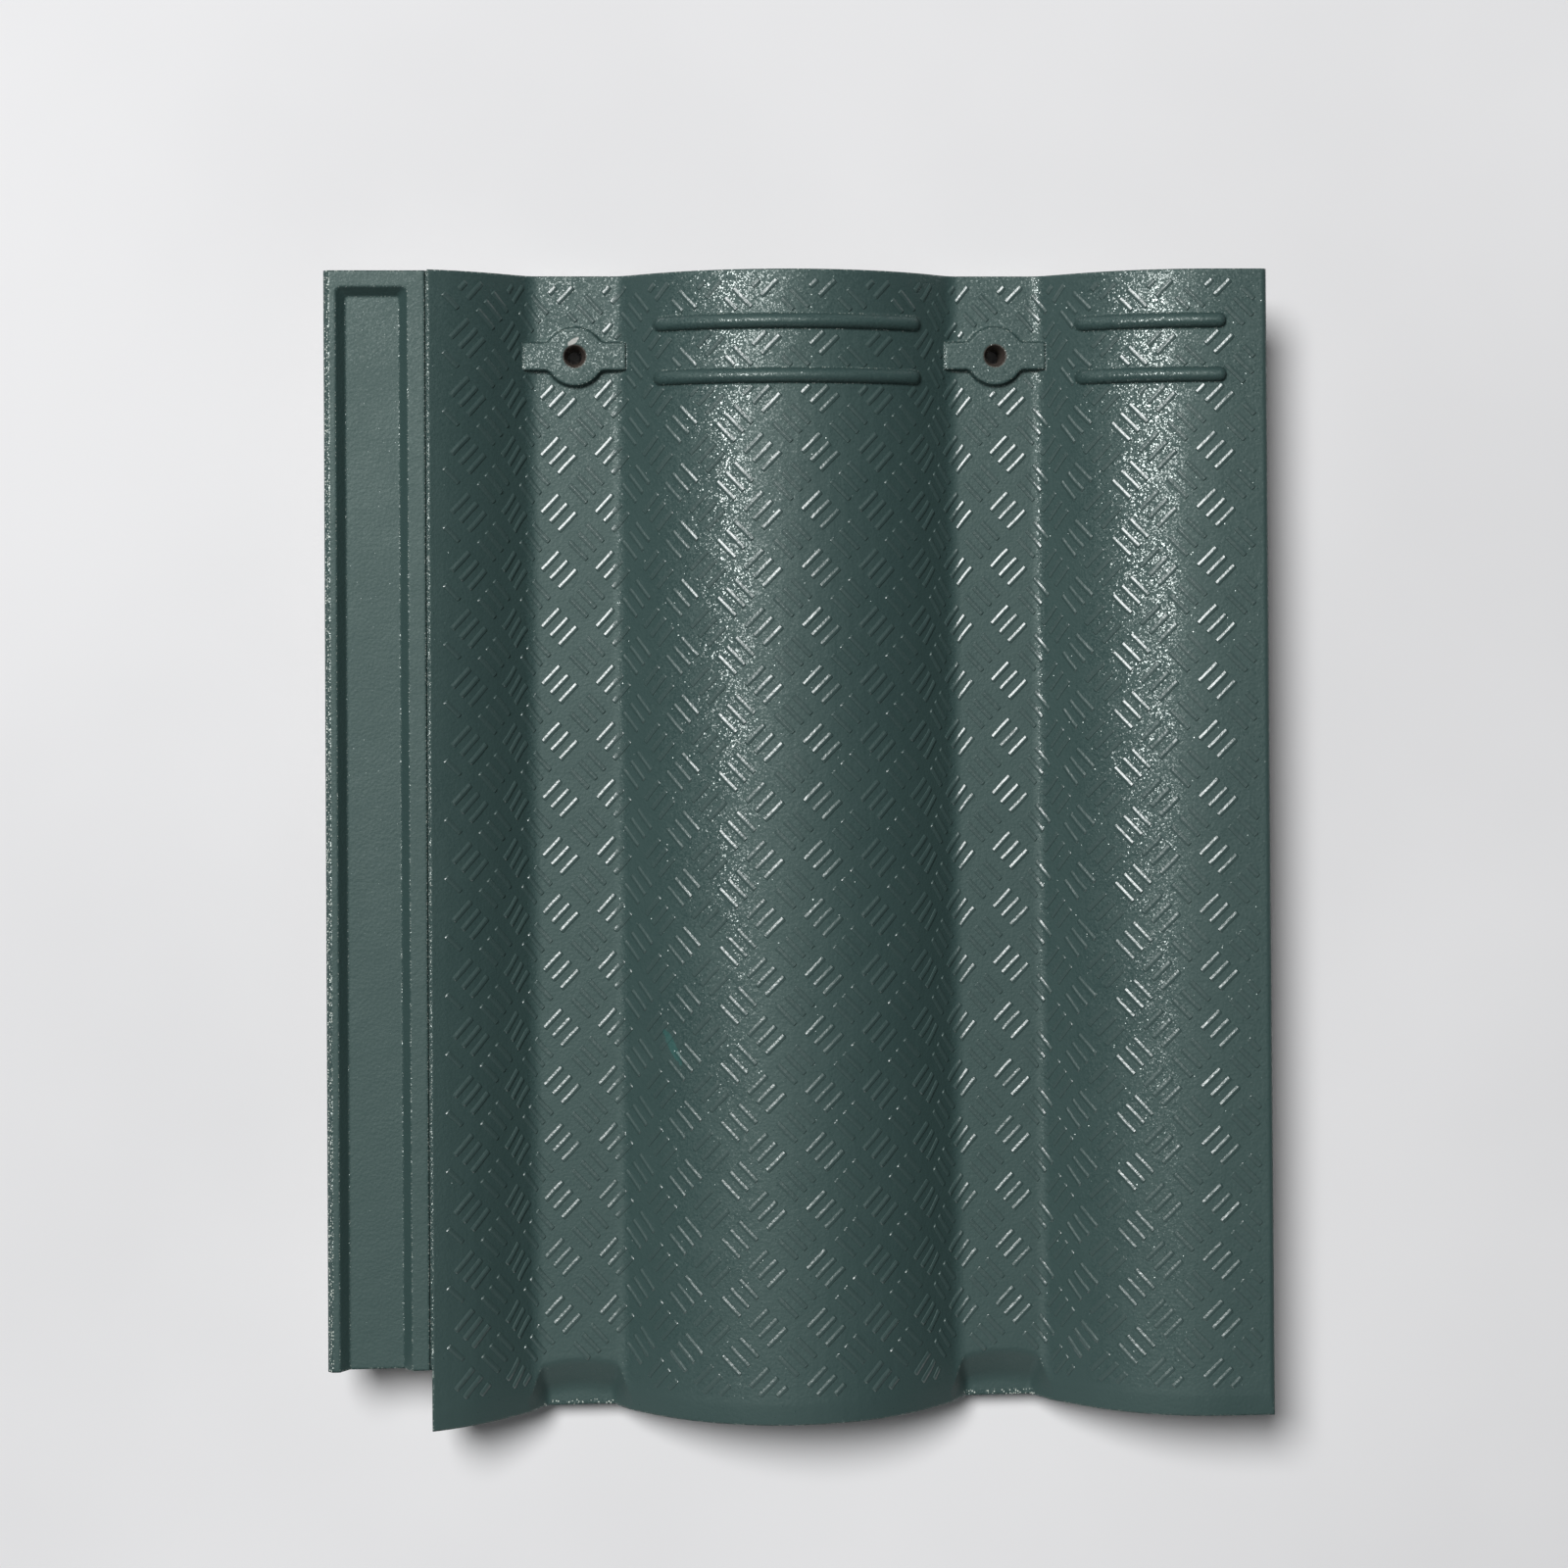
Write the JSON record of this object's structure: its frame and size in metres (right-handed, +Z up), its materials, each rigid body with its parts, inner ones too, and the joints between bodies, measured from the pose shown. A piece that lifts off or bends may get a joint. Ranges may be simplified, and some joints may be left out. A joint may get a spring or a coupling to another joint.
{
  "type": "roof tile",
  "caption": "Interlocking double-roll concrete roof tile with a side drain channel, nail bosses, batten nibs and a turned-down tail.",
  "frame": {"origin": "on the level floor that the tile lies on, under the middle of its overall rectangle", "axes": "+X across the tile from the underlap to the overlap, +Y up the roof slope from tail to head, +Z up out of the weather face"},
  "size_m": [0.33, 0.402, 0.05],
  "materials": {
    "painted_concrete": "satin paint over pressed concrete"
  },
  "bodies": {
    "root": {"roof_tile": "painted_concrete"}
  },
  "joints": []
}
